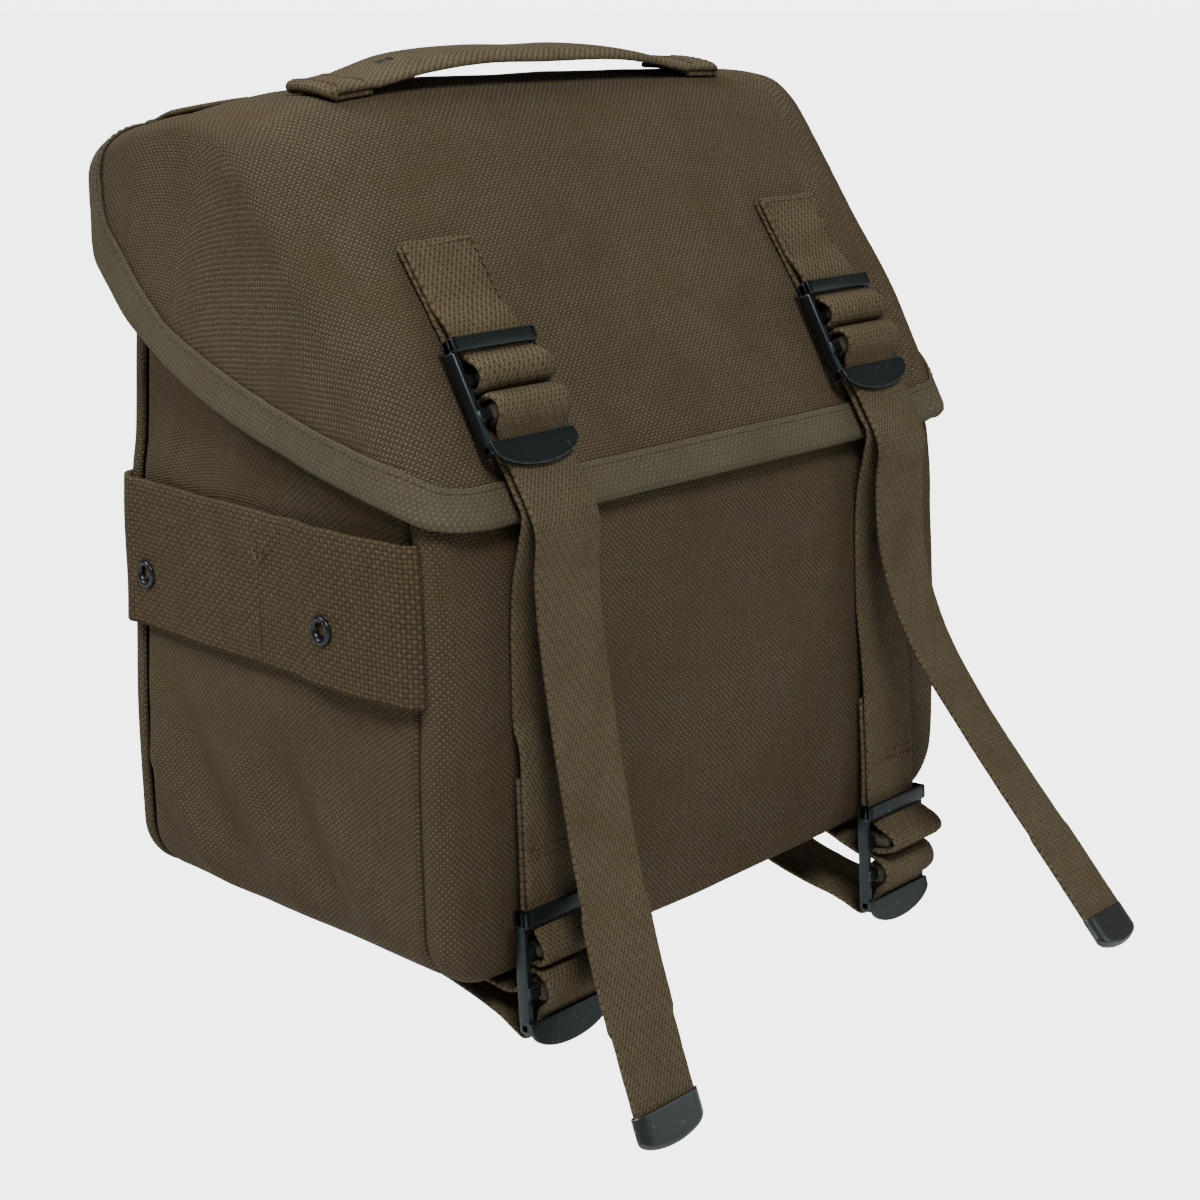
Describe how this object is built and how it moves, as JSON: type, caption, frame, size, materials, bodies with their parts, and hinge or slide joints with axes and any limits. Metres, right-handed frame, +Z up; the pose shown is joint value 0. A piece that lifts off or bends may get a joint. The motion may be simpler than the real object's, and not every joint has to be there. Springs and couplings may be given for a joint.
{
  "type": "belt bag",
  "caption": "Olive drab canvas belt bag with a strapped flap, buckles, carrying handle, belt loops and a webbing band round its sides.",
  "frame": {"origin": "on the outer face of the back panel, midway between the belt loops, at half the height of the loops", "axes": "+X to the right seen from the front, +Y out of the back towards the wearer, +Z up"},
  "size_m": [0.245, 0.2516, 0.2929],
  "materials": {
    "canvas": "plain weave cotton canvas, matt",
    "flap_canvas": "plain weave cotton canvas, matt",
    "webbing": "coarse cotton webbing, matt",
    "binding_tape": "fine herringbone tape, matt",
    "black_steel": "blackened steel, satin, worn at the edges"
  },
  "bodies": {
    "root": {"back_panel": "canvas", "belt_loop_left": "webbing", "belt_loop_right": "webbing", "closure_strap_left": "webbing", "closure_strap_right": "webbing", "eyelet_front_left": "black_steel", "eyelet_front_right": "black_steel", "eyelet_rear_left": "black_steel", "eyelet_rear_right": "black_steel", "flap": "flap_canvas", "flap_binding": "binding_tape", "flap_tab_left": "webbing", "flap_tab_right": "webbing", "front_panel": "canvas", "gusset": "canvas", "handle": "webbing", "lower_buckle_left": "black_steel", "lower_buckle_right": "black_steel", "roll_strap_left": "webbing", "roll_strap_right": "webbing", "shoulder_tab_left": "webbing", "shoulder_tab_right": "webbing", "strap_tip_left": "black_steel", "strap_tip_right": "black_steel", "upper_buckle_left": "black_steel", "upper_buckle_right": "black_steel", "web_band": "webbing"}
  },
  "joints": []
}
